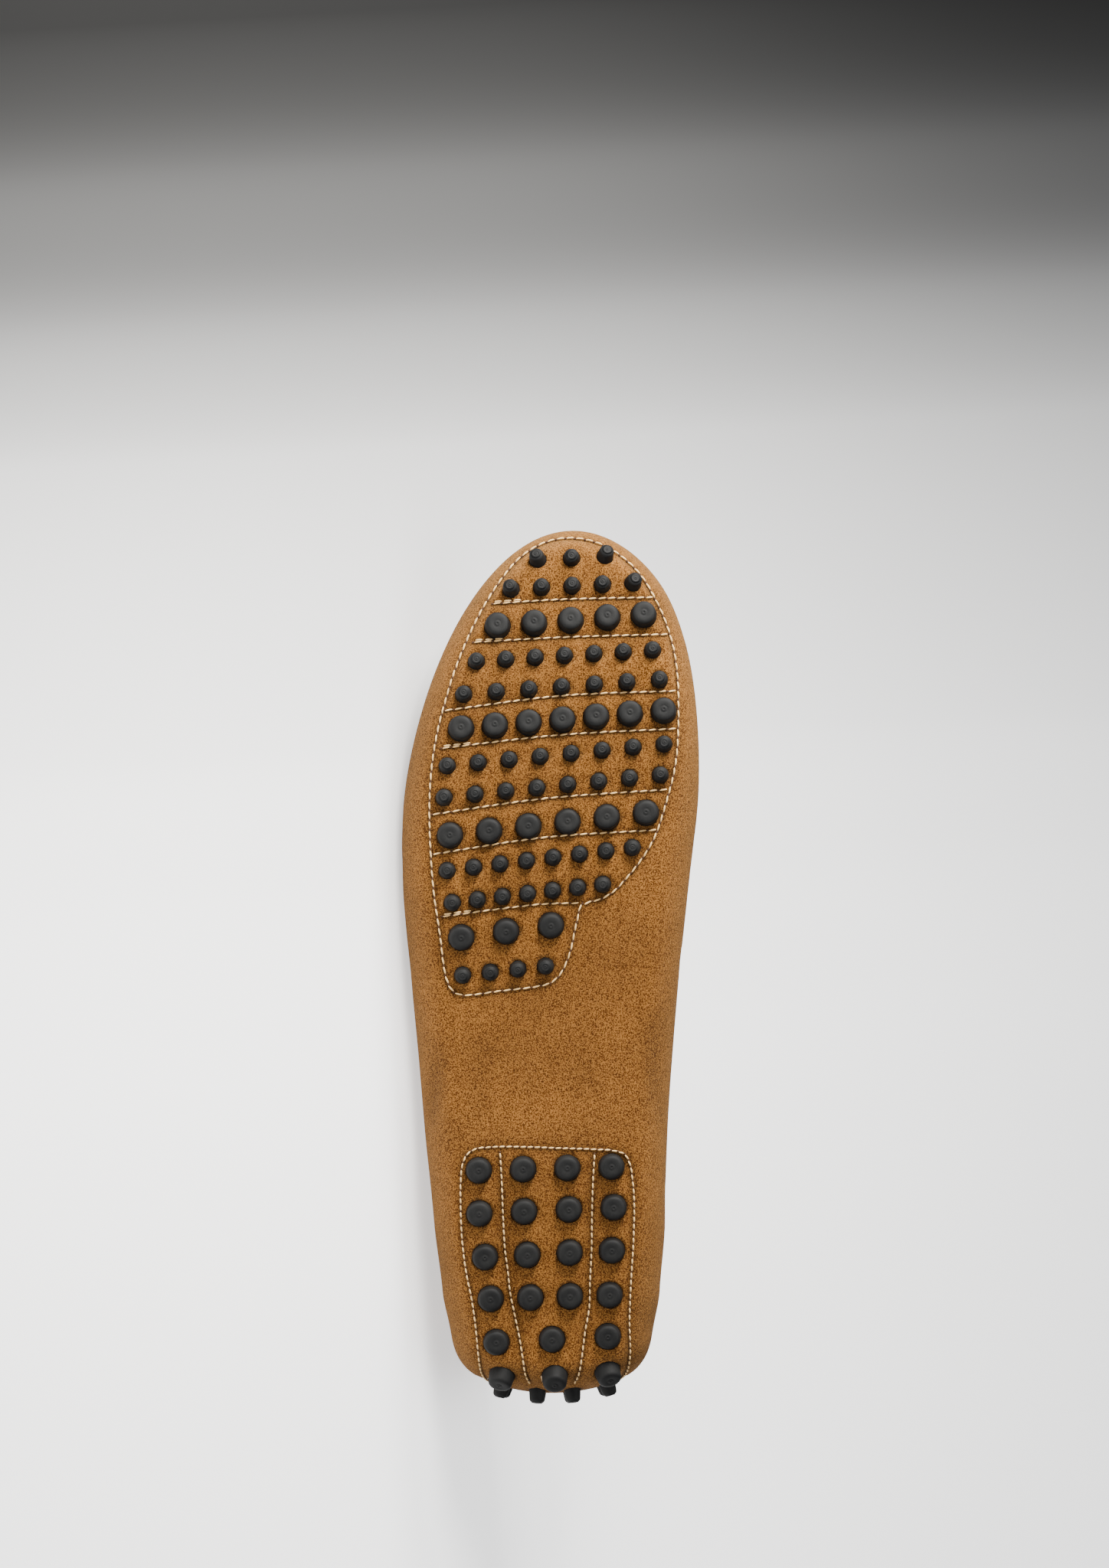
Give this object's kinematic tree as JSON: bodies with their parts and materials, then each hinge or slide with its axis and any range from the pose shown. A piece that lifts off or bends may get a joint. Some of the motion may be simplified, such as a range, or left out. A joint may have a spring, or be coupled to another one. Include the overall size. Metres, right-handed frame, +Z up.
{
  "type": "driving moccasin",
  "caption": "Right shoe of tan suede that wraps under the foot, with rubber pebble studs through punched holes, a sewn apron and a bound collar, lying on its outer side",
  "frame": {"origin": "middle of the box that holds the shoe, on the floor that it lies on", "axes": "+Z up; the shoe lies on its outer side, with the toe to -X, the heel to +X, the tread to -Y and a little up, and the collar to +Y"},
  "size_m": [0.2882, 0.086, 0.0912],
  "materials": {
    "tan_suede": "napped tan suede, matt, with cream thread in its seams",
    "apron_suede": "napped tan suede, matt, gathered at its seam",
    "binding_leather": "smooth tan leather, soft sheen",
    "forefoot_rubber": "matt charcoal rubber",
    "heel_rubber": "matt charcoal rubber",
    "insole_leather": "smooth natural leather"
  },
  "bodies": {
    "root": {"upper": "tan_suede", "apron": "apron_suede", "collar_binding": "binding_leather", "forefoot_studs": "forefoot_rubber", "heel_studs": "heel_rubber", "insole": "insole_leather"}
  },
  "joints": []
}
